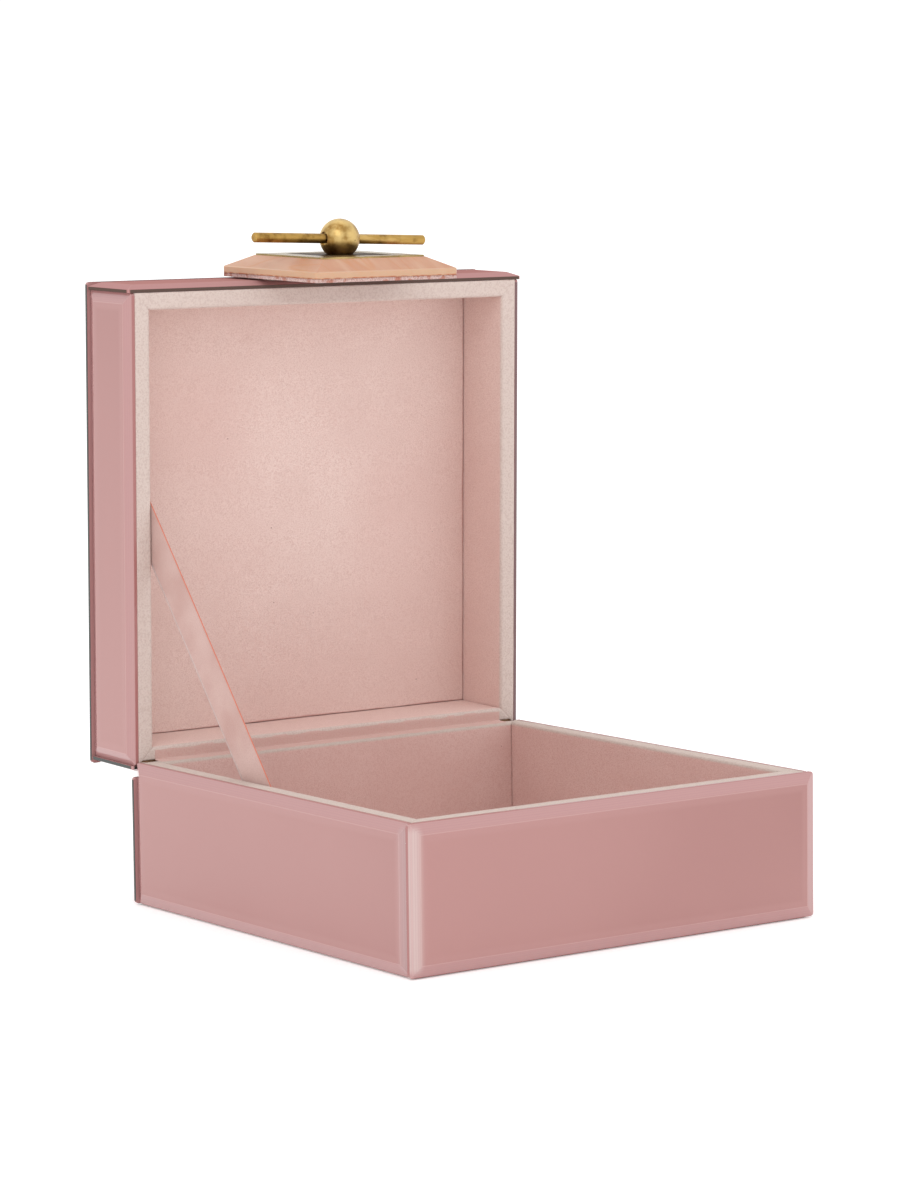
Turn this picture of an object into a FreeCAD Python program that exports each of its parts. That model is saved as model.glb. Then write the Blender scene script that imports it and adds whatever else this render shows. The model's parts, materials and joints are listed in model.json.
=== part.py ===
import FreeCAD, Part
import math
import os

# Square jewelry box with a hinged lid, standing open.
# Boards lined with velvet carry bevelled, back-painted glass on every outer face.
# A stone plate with a brass ball and bar is bonded to the lid's front wall as its handle.
#
# Frame: millimetres, origin at the middle of the underside, +Z up, +X to the right along
# the hinge, +Y to the back. The lid is modelled shut and then turned open about the hinge.

# ---- driving dimensions -------------------------------------------------------------------
WIDTH = 203.0            # over the side glass, along X
DEPTH = 205.0            # over the front and back glass, along Y
BASE_TOP = 60.6          # rim of the base above the surface it stands on
LID_HEIGHT = 36.4        # rim of the lid to its outer top face
OPEN_ANGLE = 88.7        # how far the ribbon lets the lid open, in degrees

GLASS = 3.2              # glass thickness
GLASS_EDGE = 1.3         # thickness left at the outer edge of a bevel
BEVEL = 4.6              # bevel width
GLASS_CORNER = 1.6       # corner radius of a glass panel
GLASS_LIFT = 0.6         # lower edge of the base glass above the floor
BACK_GLASS_DROP = 6.1    # top edge of the base's back glass below the rim

BOARD = 6.4              # wall board
BOTTOM_BOARD = 4.0
TOP_BOARD = 3.2
VELVET = 1.0             # velvet lining with its glue
FLOOR_PAD = 2.4
CEILING_PAD = 1.8
UNDERSIDE_FELT = 1.2
PAD_GAP = 0.2            # floor and ceiling pads stay clear of the wall lining

RIM_GAP = 0.3            # between the two rims with the lid shut

HINGE_INSET = 0.6        # hinge axis inside the boards' back face
HINGE_DROP = 1.1         # hinge axis below the base rim
KNUCKLE_RADIUS = 1.0
PIN_RADIUS = 0.5
PIN_CLEARANCE = 0.03
KNUCKLE_COUNT = 9
KNUCKLE_GAP = 0.2
HINGE_LENGTH = 180.0
LEAF_THICKNESS = 0.6     # equal to HINGE_INSET, so a leaf ends flush with the boards
LEAF_WIDTH = 8.0
LEAF_SETBACK = 1.2       # leaf edge away from the axis where the other leaf's knuckles turn
HINGE_CLEARANCE = 0.2
REBATE_DEPTH = 1.3       # groove in the base's back board for the knuckles
REBATE_DROP = 1.5

SCREW_COUNT = 5
SCREW_SPACING = 40.0
SCREW_DROP = 3.5         # screw centres away from the hinge axis
SCREW_RADIUS = 0.9
SCREW_HEAD_RADIUS = 1.5
SCREW_HEAD_HEIGHT = 0.7
SCREW_LENGTH = 5.4
SCREW_SLOT = 0.35

PLATE_SIDE = 72.4        # stone plate
PLATE_TOP_SIDE = 52.4
PLATE_EDGE = 2.6
PLATE_THICKNESS = 7.6
PLATE_CORNER = 1.6
PLATE_DROP = 6.5         # middle of the plate below the lid's rim, with the lid shut
SUEDE = 1.6
SUEDE_INSET = 0.4
BOND_PAD = 0.8
BOND_PAD_LENGTH = 60.0
BOND_PAD_HEIGHT = 25.0
BOND_PAD_RISE = 2.0      # lower edge of the bonding pad above the lid's rim
FRAME_SIDE = 51.6        # brass frame on the stone
FRAME_OPENING = 33.0
FRAME_THICKNESS = 0.7
SEAT_SIDE = 32.6         # thin brass seat inside the frame
SEAT_THICKNESS = 0.6
BALL_RADIUS = 8.6
BALL_LIFT = 6.6          # ball centre above its seat
BAR_RADIUS = 2.1
BAR_LENGTH = 87.5
BAR_TILT = 2.0           # degrees, right-hand end towards the plate
BAR_EDGE = 0.5           # chamfer on the bar's ends
BAR_FIT = 0.02           # clearance round the bar in the ball
BAR_RECESS_RADIUS = 2.9
BAR_RECESS_DEPTH = 0.8
STUD_RADIUS = 2.0
STUD_CLEARANCE = 0.2
STUD_HEAD_RADIUS = 4.0
STUD_HEAD_HEIGHT = 2.6
STUD_LENGTH = 11.8

RIBBON_WIDTH = 17.0
RIBBON_THICKNESS = 0.5
RIBBON_CLEARANCE = 0.15  # off the side lining
RIBBON_FOOT_Y = 8.2      # lower end, inside the base
RIBBON_FOOT_Z = 44.0
RIBBON_HEAD_Y = 114.1    # upper end, inside the open lid
RIBBON_HEAD_Z = 175.0

# ---- derived dimensions -------------------------------------------------------------------
BOARD_X = WIDTH / 2 - GLASS          # outer faces of the boards
BOARD_Y = DEPTH / 2 - GLASS
WALL = BOARD + VELVET                # board and lining together
LID_RIM = BASE_TOP + RIM_GAP
LID_TOP = LID_RIM + LID_HEIGHT
FLOOR_TOP = UNDERSIDE_FELT + BOTTOM_BOARD
CEILING = LID_TOP - GLASS - TOP_BOARD
AXIS_Y = BOARD_Y - HINGE_INSET
AXIS_Z = BASE_TOP - HINGE_DROP
KNUCKLE_PITCH = HINGE_LENGTH / KNUCKLE_COUNT
HINGE_ZONE = HINGE_LENGTH / 2 + HINGE_CLEARANCE

X_AXIS = FreeCAD.Vector(1, 0, 0)
Y_AXIS = FreeCAD.Vector(0, 1, 0)
Z_AXIS = FreeCAD.Vector(0, 0, 1)

# Each wall's own axes: along the wall, up, and outward.
WALLS = {
    "front": (X_AXIS, Z_AXIS, -Y_AXIS),
    "back": (-X_AXIS, Z_AXIS, Y_AXIS),
    "left": (-Y_AXIS, Z_AXIS, -X_AXIS),
    "right": (Y_AXIS, Z_AXIS, X_AXIS),
    "top": (X_AXIS, Y_AXIS, Z_AXIS),
}
BASE_NODES = {}
LID_NODES = {}


# ---- helpers ------------------------------------------------------------------------------
def block(x_range, y_range, z_range):
    """Box between two limits on each axis."""
    low = FreeCAD.Vector(x_range[0], y_range[0], z_range[0])
    size = (x_range[1] - x_range[0], y_range[1] - y_range[0], z_range[1] - z_range[0])
    return Part.makeBox(*size, low)


def prism(points, height, z_low):
    """Upright prism on a closed outline of (x, y) points."""
    corners = [FreeCAD.Vector(x, y, z_low) for x, y in points]
    outline = Part.makePolygon(corners + corners[:1])
    return Part.Face(outline).extrude(Z_AXIS * height)


def rounded_block(width, height, thickness, radius):
    """Flat block centred on X and Y, rising from z = 0, with rounded upright edges."""
    body = block((-width / 2, width / 2), (-height / 2, height / 2), (0, thickness))
    upright = [edge for edge in body.Edges if abs(edge.tangentAt(edge.FirstParameter).z) > 0.9]
    return body.makeFillet(radius, upright)


def bevelled_block(sides, top_sides, edge, thickness, radius):
    """Rounded block whose upper part slopes in from its sides to smaller top sides."""
    half_x, half_y = sides[0] / 2, sides[1] / 2
    top_x, top_y = top_sides[0] / 2, top_sides[1] / 2
    lower = block((-half_x, half_x), (-half_y, half_y), (0, edge))
    slope = Part.makeWedge(-half_x, edge, -half_y, -top_y, -top_x,
                           half_x, thickness, half_y, top_y, top_x)
    slope.rotate(FreeCAD.Vector(), X_AXIS, 90)
    return lower.fuse(slope).removeSplitter().common(
        rounded_block(sides[0], sides[1], thickness, radius))


def on_wall(shape, wall, distance, height):
    """Stand a flat block on a wall, its back at a distance from the middle of the box."""
    along, up, outward = WALLS[wall]
    turned = shape.copy()
    middle = outward * distance + Z_AXIS * height
    stand = FreeCAD.Placement(middle, FreeCAD.Rotation(along, up, outward, "ZXY"))
    turned.Placement = stand.multiply(turned.Placement)
    return turned


def glass_panel(length, height):
    """Bevelled glass panel, its painted back at z = 0."""
    inner = (length - 2 * BEVEL, height - 2 * BEVEL)
    return bevelled_block((length, height), inner, GLASS_EDGE, GLASS, GLASS_CORNER)


def mitred(wall, z_low, z_high):
    """Space of one wall's lining: its rim strip in plan, mitred at both corners."""
    corners = {
        "front": ((-1, -1), (1, -1)),
        "back": ((1, 1), (-1, 1)),
        "left": ((-1, 1), (-1, -1)),
        "right": ((1, -1), (1, 1)),
    }[wall]
    outer = [(sx * BOARD_X, sy * BOARD_Y) for sx, sy in corners]
    inner = [(sx * (BOARD_X - WALL), sy * (BOARD_Y - WALL)) for sx, sy in reversed(corners)]
    return prism(outer + inner, z_high - z_low, z_low)


def lining(wall, inside, rim):
    """Velvet over one wall's rim and down or up its inner face, from inside to rim."""
    z_low, z_high = sorted((inside, rim))
    core_low, core_high = (z_low, z_high - VELVET) if rim > inside else (z_low + VELVET, z_high)
    core = block((BOARD - BOARD_X, BOARD_X - BOARD), (BOARD - BOARD_Y, BOARD_Y - BOARD),
                 (core_low, core_high))
    shell = mitred(wall, core_low, core_high).common(core)
    cap_low = z_high - VELVET if rim > inside else z_low
    return shell.fuse(mitred(wall, cap_low, cap_low + VELVET)).removeSplitter()


def hinge_space(y_range, z_range):
    """Box along the whole hinge, with a little play at both ends."""
    return block((-HINGE_ZONE, HINGE_ZONE), y_range, z_range)


# ---- boards -------------------------------------------------------------------------------
def wall_boards(prefix, z_low, z_high):
    """Four wall boards, the front and back ones running the full width."""
    inner_y = BOARD_Y - BOARD
    boards = {}
    for side, sign in (("left", -1), ("right", 1)):
        x_range = sorted((sign * BOARD_X, sign * (BOARD_X - BOARD)))
        boards[prefix + side + "_board"] = block(x_range, (-inner_y, inner_y), (z_low, z_high))
    for side, sign in (("front", -1), ("back", 1)):
        y_range = sorted((sign * BOARD_Y, sign * inner_y))
        boards[prefix + side + "_board"] = block((-BOARD_X, BOARD_X), y_range, (z_low, z_high))
    return boards


def leaf_recess(direction):
    """Recess in a back board for a hinge leaf and its screws, up or down from the axis."""
    reach = direction * (LEAF_WIDTH + HINGE_CLEARANCE)
    z_range = sorted((AXIS_Z, AXIS_Z + reach))
    recess = hinge_space((AXIS_Y, BOARD_Y), z_range)
    return recess.fuse(screw_bodies(direction))


def add_boards():
    BASE_NODES.update(wall_boards("base_", FLOOR_TOP, BASE_TOP - VELVET))
    LID_NODES.update(wall_boards("lid_", LID_RIM + VELVET, CEILING))
    rebate = hinge_space((AXIS_Y - REBATE_DEPTH, BOARD_Y), (AXIS_Z - REBATE_DROP, BASE_TOP))
    BASE_NODES["base_back_board"] = BASE_NODES["base_back_board"].cut(
        rebate.fuse(leaf_recess(-1)))
    LID_NODES["lid_back_board"] = LID_NODES["lid_back_board"].cut(leaf_recess(1))
    plan = (-BOARD_X, BOARD_X), (-BOARD_Y, BOARD_Y)
    BASE_NODES["base_bottom_board"] = block(*plan, (UNDERSIDE_FELT, FLOOR_TOP))
    LID_NODES["lid_top_board"] = block(*plan, (CEILING, CEILING + TOP_BOARD))
    BASE_NODES["underside_felt"] = block(*plan, (0, UNDERSIDE_FELT))


# ---- glass --------------------------------------------------------------------------------
def add_wall_glass(nodes, prefix, z_ranges):
    """Four panels; the front and back ones cover the ends of the side ones."""
    for wall in ("front", "back", "left", "right"):
        z_low, z_high = z_ranges[wall]
        facing_y = wall in ("front", "back")
        length = WIDTH if facing_y else 2 * BOARD_Y
        distance = BOARD_Y if facing_y else BOARD_X
        panel = glass_panel(length, z_high - z_low)
        nodes[prefix + wall + "_glass"] = on_wall(panel, wall, distance, (z_low + z_high) / 2)


def add_glass():
    full = (GLASS_LIFT, BASE_TOP)
    short = (GLASS_LIFT, BASE_TOP - BACK_GLASS_DROP)
    add_wall_glass(BASE_NODES, "base_", {"front": full, "back": short, "left": full, "right": full})
    lid_range = (LID_RIM, LID_TOP - GLASS)
    add_wall_glass(LID_NODES, "lid_", dict.fromkeys(("front", "back", "left", "right"), lid_range))
    LID_NODES["lid_top_glass"] = on_wall(glass_panel(WIDTH, DEPTH), "top", 0, LID_TOP - GLASS)


# ---- velvet -------------------------------------------------------------------------------
def add_velvet():
    for wall in ("front", "back", "left", "right"):
        BASE_NODES["base_" + wall + "_lining"] = lining(wall, FLOOR_TOP, BASE_TOP)
        LID_NODES["lid_" + wall + "_lining"] = lining(wall, CEILING, LID_RIM)
    knuckle_side = hinge_space((AXIS_Y - REBATE_DEPTH, BOARD_Y), (AXIS_Z - REBATE_DROP, BASE_TOP))
    leaf_side = hinge_space((AXIS_Y - HINGE_CLEARANCE, BOARD_Y), (LID_RIM, LID_RIM + VELVET))
    BASE_NODES["base_back_lining"] = BASE_NODES["base_back_lining"].cut(knuckle_side)
    LID_NODES["lid_back_lining"] = LID_NODES["lid_back_lining"].cut(leaf_side)
    half_x = BOARD_X - WALL - PAD_GAP
    half_y = BOARD_Y - WALL - PAD_GAP
    plan = (-half_x, half_x), (-half_y, half_y)
    BASE_NODES["base_floor_pad"] = block(*plan, (FLOOR_TOP, FLOOR_TOP + FLOOR_PAD))
    LID_NODES["lid_ceiling_pad"] = block(*plan, (CEILING - CEILING_PAD, CEILING))


# ---- hinge --------------------------------------------------------------------------------
def along_hinge(radius, x_low, length):
    return Part.makeCylinder(radius, length, FreeCAD.Vector(x_low, AXIS_Y, AXIS_Z), X_AXIS)


def screw_places(direction):
    """Points where the screws meet the outer face of a leaf."""
    first = -SCREW_SPACING * (SCREW_COUNT - 1) / 2
    z_place = AXIS_Z + direction * SCREW_DROP
    return [FreeCAD.Vector(first + SCREW_SPACING * i, BOARD_Y, z_place) for i in range(SCREW_COUNT)]


def screw_bodies(direction):
    """Countersunk screws through one leaf into its board, without their slots."""
    inward = -Y_AXIS
    screws = []
    for place in screw_places(direction):
        head = Part.makeCone(SCREW_HEAD_RADIUS, SCREW_RADIUS, SCREW_HEAD_HEIGHT, place, inward)
        shank = Part.makeCylinder(SCREW_RADIUS, SCREW_LENGTH, place, inward)
        screws.append(head.fuse(shank))
    return Part.makeCompound(screws)


def slotted_screws(direction):
    screws = []
    for screw, place in zip(screw_bodies(direction).Solids, screw_places(direction)):
        half = SCREW_SLOT / 2
        slot = block((place.x - SCREW_HEAD_RADIUS, place.x + SCREW_HEAD_RADIUS),
                     (BOARD_Y - SCREW_SLOT, BOARD_Y), (place.z - half, place.z + half))
        screws.append(screw.cut(slot))
    return Part.makeCompound(screws)


def hinge_leaf(direction, first_knuckle):
    """One leaf of the long hinge: a strip, and every second knuckle from the first one."""
    near = AXIS_Z + direction * LEAF_SETBACK
    far = AXIS_Z + direction * LEAF_WIDTH
    half = HINGE_LENGTH / 2
    leaf_y = (AXIS_Y, AXIS_Y + LEAF_THICKNESS)
    leaf = block((-half, half), leaf_y, sorted((near, far)))
    for index in range(first_knuckle, KNUCKLE_COUNT, 2):
        x_low = -half + index * KNUCKLE_PITCH + KNUCKLE_GAP / 2
        length = KNUCKLE_PITCH - KNUCKLE_GAP
        tab = block((x_low, x_low + length), leaf_y, sorted((AXIS_Z, near)))
        leaf = leaf.fuse(tab).fuse(along_hinge(KNUCKLE_RADIUS, x_low, length))
    bore = along_hinge(PIN_RADIUS + PIN_CLEARANCE, -HINGE_ZONE, 2 * HINGE_ZONE)
    return leaf.cut(bore).cut(screw_bodies(direction)).removeSplitter()


def add_hinge():
    BASE_NODES["hinge_base_leaf"] = hinge_leaf(-1, 0)
    LID_NODES["hinge_lid_leaf"] = hinge_leaf(1, 1)
    BASE_NODES["hinge_base_screws"] = slotted_screws(-1)
    LID_NODES["hinge_lid_screws"] = slotted_screws(1)
    BASE_NODES["hinge_pin"] = along_hinge(PIN_RADIUS, -HINGE_LENGTH / 2, HINGE_LENGTH)


# ---- handle -------------------------------------------------------------------------------
def on_handle(shape, lift):
    """Move a piece from the handle's own frame (z out of the lid) to the lid's front wall."""
    return on_wall(shape, "front", DEPTH / 2 + lift, LID_RIM - PLATE_DROP)


def upright_cylinder(radius, z_low, height):
    return Part.makeCylinder(radius, height, FreeCAD.Vector(0, 0, z_low))


def handle_bar():
    """Round bar through the ball, in the frame of the ball's centre."""
    rod = Part.makeCylinder(BAR_RADIUS, BAR_LENGTH, FreeCAD.Vector(-BAR_LENGTH / 2, 0, 0), X_AXIS)
    ends = [edge for edge in rod.Edges if edge.Curve.TypeId == "Part::GeomCircle"]
    rod = rod.makeChamfer(BAR_EDGE, ends)
    rod.rotate(FreeCAD.Vector(), Y_AXIS, BAR_TILT)
    return rod


def bar_hole():
    """Hole through the ball for the bar, with a shallow recess at both mouths."""
    mouth = math.sqrt(BALL_RADIUS ** 2 - BAR_RECESS_RADIUS ** 2) - BAR_RECESS_DEPTH
    low_end = FreeCAD.Vector(-BAR_LENGTH / 2, 0, 0)
    hole = Part.makeCylinder(BAR_RADIUS + BAR_FIT, BAR_LENGTH, low_end, X_AXIS)
    for side in (-1, 1):
        start = FreeCAD.Vector(side * mouth, 0, 0)
        hole = hole.fuse(Part.makeCylinder(BAR_RECESS_RADIUS, BALL_RADIUS, start, X_AXIS * side))
    hole.rotate(FreeCAD.Vector(), Y_AXIS, BAR_TILT)
    return hole


def add_handle():
    bond = block((-BOND_PAD_LENGTH / 2, BOND_PAD_LENGTH / 2), (0, BOND_PAD_HEIGHT), (0, BOND_PAD))
    bond.translate(Y_AXIS * (PLATE_DROP + BOND_PAD_RISE))
    LID_NODES["handle_bond_pad"] = on_handle(bond, 0)

    suede_side = PLATE_SIDE - 2 * SUEDE_INSET
    suede = rounded_block(suede_side, suede_side, SUEDE, PLATE_CORNER)
    LID_NODES["handle_suede_backing"] = on_handle(suede, BOND_PAD)

    stone_lift = BOND_PAD + SUEDE
    stone = bevelled_block((PLATE_SIDE, PLATE_SIDE), (PLATE_TOP_SIDE, PLATE_TOP_SIDE),
                           PLATE_EDGE, PLATE_THICKNESS, PLATE_CORNER)
    stone = stone.cut(upright_cylinder(STUD_RADIUS + STUD_CLEARANCE, 0, PLATE_THICKNESS))
    stone = stone.cut(upright_cylinder(STUD_HEAD_RADIUS + STUD_CLEARANCE, 0, STUD_HEAD_HEIGHT))
    LID_NODES["handle_stone_plate"] = on_handle(stone, stone_lift)

    top_lift = stone_lift + PLATE_THICKNESS
    frame = block((-FRAME_SIDE / 2, FRAME_SIDE / 2), (-FRAME_SIDE / 2, FRAME_SIDE / 2),
                  (0, FRAME_THICKNESS))
    half_opening = FRAME_OPENING / 2
    frame = frame.cut(block((-half_opening, half_opening), (-half_opening, half_opening),
                            (0, FRAME_THICKNESS)))
    LID_NODES["handle_brass_frame"] = on_handle(frame, top_lift)

    seat = block((-SEAT_SIDE / 2, SEAT_SIDE / 2), (-SEAT_SIDE / 2, SEAT_SIDE / 2),
                 (0, SEAT_THICKNESS))
    seat = seat.cut(upright_cylinder(STUD_RADIUS + STUD_CLEARANCE, 0, SEAT_THICKNESS))
    LID_NODES["handle_brass_seat"] = on_handle(seat, top_lift)

    ball_lift = top_lift + SEAT_THICKNESS + BALL_LIFT
    ball = Part.makeSphere(BALL_RADIUS)
    below = block((-BALL_RADIUS, BALL_RADIUS), (-BALL_RADIUS, BALL_RADIUS),
                  (-BALL_RADIUS, -BALL_LIFT))
    stud_reach = stone_lift + STUD_LENGTH - ball_lift
    threads = upright_cylinder(STUD_RADIUS, -BALL_LIFT, BALL_LIFT + stud_reach)
    LID_NODES["handle_ball"] = on_handle(ball.cut(below).cut(threads).cut(bar_hole()), ball_lift)
    LID_NODES["handle_bar"] = on_handle(handle_bar(), ball_lift)

    stud = upright_cylinder(STUD_RADIUS, 0, STUD_LENGTH)
    stud = stud.fuse(upright_cylinder(STUD_HEAD_RADIUS, 0, STUD_HEAD_HEIGHT))
    LID_NODES["handle_stud"] = on_handle(stud.removeSplitter(), stone_lift)


# ---- ribbon -------------------------------------------------------------------------------
def add_ribbon():
    """Taut stay ribbon beside the left wall, between the base and the open lid."""
    run_y = RIBBON_HEAD_Y - RIBBON_FOOT_Y
    run_z = RIBBON_HEAD_Z - RIBBON_FOOT_Z
    length = math.hypot(run_y, run_z)
    x_low = -BOARD_X + WALL + RIBBON_CLEARANCE
    band = block((0, RIBBON_THICKNESS), (-RIBBON_WIDTH / 2, RIBBON_WIDTH / 2), (0, length))
    band.rotate(FreeCAD.Vector(), X_AXIS, -math.degrees(math.atan2(run_y, run_z)))
    band.translate(FreeCAD.Vector(x_low, RIBBON_FOOT_Y, RIBBON_FOOT_Z))
    BASE_NODES["ribbon_stay"] = band


def main():
    add_boards()
    add_glass()
    add_velvet()
    add_hinge()
    add_handle()
    add_ribbon()
    for shape in LID_NODES.values():
        shape.rotate(FreeCAD.Vector(0, AXIS_Y, AXIS_Z), X_AXIS, -OPEN_ANGLE)
    os.makedirs("parts", exist_ok=True)
    for node, shape in {**BASE_NODES, **LID_NODES}.items():
        shape.exportStep("parts/" + node + ".step")


main()
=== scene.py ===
import json
import math

import bmesh
import bpy
from bpy.props import FloatProperty, FloatVectorProperty, PointerProperty
from mathutils import Matrix, Vector, noise

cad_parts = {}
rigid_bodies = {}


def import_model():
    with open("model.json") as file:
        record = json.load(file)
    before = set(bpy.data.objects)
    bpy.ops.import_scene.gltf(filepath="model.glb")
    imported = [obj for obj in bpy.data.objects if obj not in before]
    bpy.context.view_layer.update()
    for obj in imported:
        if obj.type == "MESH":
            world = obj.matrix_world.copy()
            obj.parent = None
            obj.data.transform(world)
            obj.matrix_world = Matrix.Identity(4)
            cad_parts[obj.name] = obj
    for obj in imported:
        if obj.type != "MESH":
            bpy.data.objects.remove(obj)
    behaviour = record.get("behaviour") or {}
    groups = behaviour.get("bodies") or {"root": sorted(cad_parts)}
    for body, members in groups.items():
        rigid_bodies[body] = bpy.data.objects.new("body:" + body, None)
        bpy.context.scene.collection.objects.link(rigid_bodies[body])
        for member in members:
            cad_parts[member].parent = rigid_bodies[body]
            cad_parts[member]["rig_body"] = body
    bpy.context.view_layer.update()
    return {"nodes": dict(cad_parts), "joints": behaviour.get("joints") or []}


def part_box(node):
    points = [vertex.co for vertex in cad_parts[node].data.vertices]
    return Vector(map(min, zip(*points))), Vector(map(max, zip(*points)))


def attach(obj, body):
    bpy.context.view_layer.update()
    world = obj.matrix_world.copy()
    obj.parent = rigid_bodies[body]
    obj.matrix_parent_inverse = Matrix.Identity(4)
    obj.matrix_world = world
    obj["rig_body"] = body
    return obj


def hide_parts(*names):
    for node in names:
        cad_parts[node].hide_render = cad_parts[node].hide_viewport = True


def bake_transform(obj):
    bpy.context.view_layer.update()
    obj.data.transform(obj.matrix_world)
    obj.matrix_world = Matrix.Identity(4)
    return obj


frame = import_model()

bl_info = {
    "name": "Jewelry box",
    "version": (1, 0, 0),
    "blender": (4, 5, 0),
    "location": "3D View > Sidebar > Jewelry box",
    "description": "Velvet, painted glass, stone and brass for the hinged jewelry box",
    "category": "Object",
}

MM = 0.001
HINGE = frame["joints"][0]
AXIS = Vector(HINGE["pos_m"])
OPEN_TURN = -math.radians(HINGE["range_deg"][1])
OPENED = (Matrix.Translation(AXIS) @ Matrix.Rotation(OPEN_TURN, 4, "X")
          @ Matrix.Translation(-AXIS))
SHUT = OPENED.inverted()
UP = Vector((0, 0, 1))

# Each wall's own axes: along the wall, up, and outward, with the lid shut.
WALLS = {
    "front": (Vector((1, 0, 0)), UP, Vector((0, -1, 0))),
    "back": (Vector((-1, 0, 0)), UP, Vector((0, 1, 0))),
    "left": (Vector((0, -1, 0)), UP, Vector((-1, 0, 0))),
    "right": (Vector((0, 1, 0)), UP, Vector((1, 0, 0))),
    "top": (Vector((1, 0, 0)), Vector((0, 1, 0)), UP),
}
SIDES = ("front", "back", "left", "right")

# Half the length of the front and back boards' outside, and of the left and right ones'.
WALL_REACH = (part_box("base_front_board")[1].x, -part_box("base_front_board")[0].y)
KNUCKLE_NOTCH = 1.9 * MM      # room for the hinge's knuckles in the back rims
FIBRE_SINK = 0.34 * MM        # keeps the rims' fibres clear of each other with the lid shut
CAMERA_PLACE = (-0.9697, -1.3386, 0.3159)
CAMERA_TURN = (35.695, 6.408, -0.684)      # degrees: round, down, and tipped over
CAMERA_LENS = 120.93
WORLD_STRENGTH = 1.08
FLOOR_GLOW = 0.2


def shut_box(node):
    """Lowest and highest corner of a lid node with the lid shut, where its walls are square."""
    corners = [SHUT @ v.co for v in frame["nodes"][node].data.vertices]
    low = Vector(min(c[i] for c in corners) for i in range(3))
    high = Vector(max(c[i] for c in corners) for i in range(3))
    return low, high


def node_box(node):
    return shut_box(node) if frame["nodes"][node]["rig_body"] == "lid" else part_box(node)


def turned(body):
    """Carries a piece modelled with the lid shut to where its body rests."""
    return OPENED if body == "lid" else Matrix.Identity(4)


def finish_settings():
    return bpy.context.scene.jewelry_box


# ---- shader building ----------------------------------------------------------------------
class Wire:
    """A number in a shader, so that its maths reads as ordinary sums."""

    def __init__(self, shade, socket):
        self.shade = shade
        self.socket = socket

    def math(self, operation, *others):
        made = self.shade.node("ShaderNodeMath", {"operation": operation},
                               dict(enumerate((self,) + others)))
        return Wire(self.shade, made.outputs[0])

    def __add__(self, other):
        return self.math("ADD", other)

    __radd__ = __add__

    def __mul__(self, other):
        return self.math("MULTIPLY", other)

    __rmul__ = __mul__

    def __sub__(self, other):
        return self.math("SUBTRACT", other)

    def __rsub__(self, other):
        return (self * -1) + other

    def __abs__(self):
        return self.math("ABSOLUTE")

    def least(self, other):
        return self.math("MINIMUM", other)

    def rise(self, low, high):
        """0 below low, 1 above high, and smooth between them."""
        made = self.shade.node("ShaderNodeMapRange", {"interpolation_type": "SMOOTHSTEP"},
                               {"Value": self, "From Min": low, "From Max": high})
        return Wire(self.shade, made.outputs[0])

    def fall(self, low, high):
        return 1 - self.rise(low, high)

    def line(self, place, width):
        """1 at place, falling to 0 at width either side."""
        return abs(self - place).fall(0, width)


class Shade:
    """One material, built around a Principled shader."""

    def __init__(self, name, **constants):
        self.material = bpy.data.materials.new(name)
        self.material.use_nodes = True
        self.tree = self.material.node_tree
        self.tree.nodes.clear()
        self.surface = self.node("ShaderNodeBsdfPrincipled")
        output = self.node("ShaderNodeOutputMaterial")
        self.tree.links.new(self.surface.outputs[0], output.inputs["Surface"])
        self.place = self.node("ShaderNodeTexCoord").outputs["Object"]
        for socket, value in constants.items():
            self.surface.inputs[socket.replace("_", " ")].default_value = value

    def node(self, kind, settings=None, inputs=None):
        made = self.tree.nodes.new(kind)
        for key, value in (settings or {}).items():
            setattr(made, key, value)
        for key, value in (inputs or {}).items():
            self.plug(made.inputs[key], value)
        return made

    def plug(self, socket, value):
        if isinstance(value, Wire):
            self.tree.links.new(value.socket, socket)
        elif isinstance(value, bpy.types.NodeSocket):
            self.tree.links.new(value, socket)
        else:
            socket.default_value = value

    def along(self, direction, centre):
        """Distance from a centre point along a direction, in metres."""
        made = self.node("ShaderNodeVectorMath", {"operation": "DOT_PRODUCT"},
                         {0: self.place, 1: direction})
        return Wire(self, made.outputs["Value"]) - direction.dot(centre)

    def stretched(self, scale):
        made = self.node("ShaderNodeVectorMath", {"operation": "MULTIPLY"},
                         {0: self.place, 1: scale})
        return made.outputs[0]

    def noise(self, scale, detail=2.0, place=None):
        made = self.node("ShaderNodeTexNoise", None,
                         {"Vector": place or self.place, "Scale": scale, "Detail": detail})
        return Wire(self, made.outputs["Fac"])

    def specks(self, spacing, radius):
        """Scattered small dots, one now and then."""
        made = self.node("ShaderNodeTexVoronoi", None,
                         {"Vector": self.place, "Scale": 1 / spacing})
        dot = Wire(self, made.outputs["Distance"]).fall(radius / spacing * 0.6, radius / spacing)
        seldom = Wire(self, self.node("ShaderNodeSeparateColor", None,
                                      {0: made.outputs["Color"]}).outputs[0])
        return dot * seldom.rise(0.55, 0.6)

    def mix(self, low, high, factor):
        made = self.node("ShaderNodeMix", {"data_type": "RGBA"})
        for socket, value in zip((made.inputs[0], made.inputs[6], made.inputs[7]),
                                 (factor, low, high)):
            self.plug(socket, value)
        return made.outputs[2]

    def bump(self, height, distance, strength=1.0):
        made = self.node("ShaderNodeBump", None,
                         {"Height": height, "Distance": distance, "Strength": strength})
        self.plug(self.surface.inputs["Normal"], made.outputs[0])

    def give(self, **sockets):
        for socket, value in sockets.items():
            self.plug(self.surface.inputs[socket.replace("_", " ")], value)
        return self.material


def tone(red, green, blue):
    """A colour from its display values, 0 to 255."""
    def linear(value):
        share = value / 255
        return share / 12.92 if share <= 0.04045 else ((share + 0.055) / 1.055) ** 2.4
    return (linear(red), linear(green), linear(blue), 1.0)


def rgba(colour):
    return (*colour, 1.0)


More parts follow.
